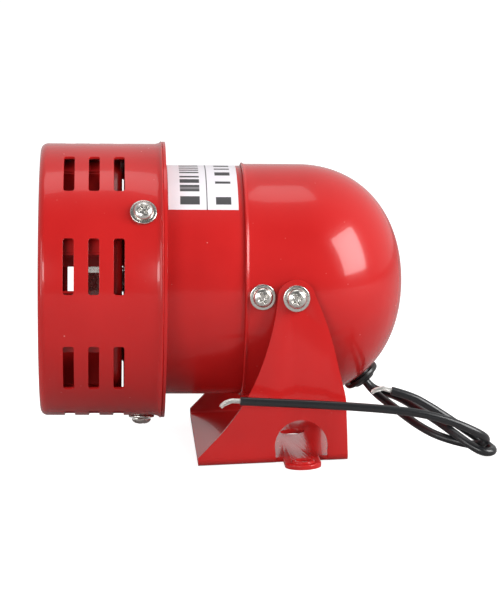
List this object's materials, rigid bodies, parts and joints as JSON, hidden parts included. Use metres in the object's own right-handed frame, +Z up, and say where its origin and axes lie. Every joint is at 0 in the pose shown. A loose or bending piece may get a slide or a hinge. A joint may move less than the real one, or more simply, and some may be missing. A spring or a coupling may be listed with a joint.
{
  "type": "motor siren",
  "caption": "Small electric motor siren: slotted horn drum with a spinning chopper rotor, domed motor casing and a U bracket it tilts on.",
  "frame": {"origin": "centre of the base plate's middle hole, on the plate's underside, straight below the tilt pivot", "axes": "+Z up from the mounting surface, -X the way the horn drum points, Y along the tilt pivot"},
  "size_m": [0.1428, 0.1034, 0.0995],
  "materials": {
    "red_paint": "gloss red stoved enamel on sheet steel",
    "zinc_steel": "bright zinc plate",
    "label_film": "white vinyl sticker with black rules",
    "black_rubber": "smooth black rubber",
    "lead_insulation": "satin black PVC insulation",
    "tinned_copper": "tinned copper strands",
    "lamination_steel": "stacked electrical steel",
    "enamelled_copper": "enamelled copper wire",
    "commutator_copper": "turned copper",
    "cast_alloy": "die-cast aluminium",
    "ground_steel": "ground steel",
    "moulded_black": "moulded phenolic",
    "carbon": "pressed carbon"
  },
  "bodies": {
    "bracket": {"u_bracket": "red_paint"},
    "siren": {"brush_holders": "moulded_black", "brush_springs": "ground_steel", "cable_grommet": "black_rubber", "carbon_brushes": "carbon", "casing_nuts": "zinc_steel", "casing_screws": "zinc_steel", "casing_washers": "zinc_steel", "closing_ring": "red_paint", "cover_screws": "zinc_steel", "cover_washers": "zinc_steel", "field_coils": "enamelled_copper", "front_bearing": "ground_steel", "front_cover": "red_paint", "front_end_frame": "cast_alloy", "inner_leads": "lead_insulation", "long_lead": "lead_insulation", "long_lead_strands": "tinned_copper", "motor_housing": "red_paint", "motor_screws": "zinc_steel", "name_label": "label_film", "pivot_nuts": "zinc_steel", "pivot_screws": "zinc_steel", "pivot_spacers": "zinc_steel", "pivot_washers": "zinc_steel", "rear_bearing": "ground_steel", "rear_end_frame": "cast_alloy", "rear_pan": "red_paint", "rear_shell": "red_paint", "short_lead": "lead_insulation", "short_lead_strands": "tinned_copper", "stator_bolts": "zinc_steel", "stator_core": "lamination_steel"},
    "rotor": {"impeller": "red_paint", "impeller_hub": "zinc_steel", "impeller_nut": "zinc_steel", "spring_washer": "zinc_steel", "motor_shaft": "ground_steel", "armature_core": "lamination_steel", "armature_windings": "enamelled_copper", "commutator": "commutator_copper"}
  },
  "joints": [
    {"name": "siren_tilt", "type": "hinge", "parent": "bracket", "child": "siren", "pos_m": [0, 0, 0.052], "axis": [0, 1, 0], "range_deg": [-5, 87], "deforming": ["long_lead", "short_lead", "long_lead_strands", "short_lead_strands"]},
    {"name": "rotor_spin", "type": "hinge", "parent": "siren", "child": "rotor", "pos_m": [0, 0, 0.052], "axis": [0.999, 0, -0.0454], "continuous": true}
  ]
}
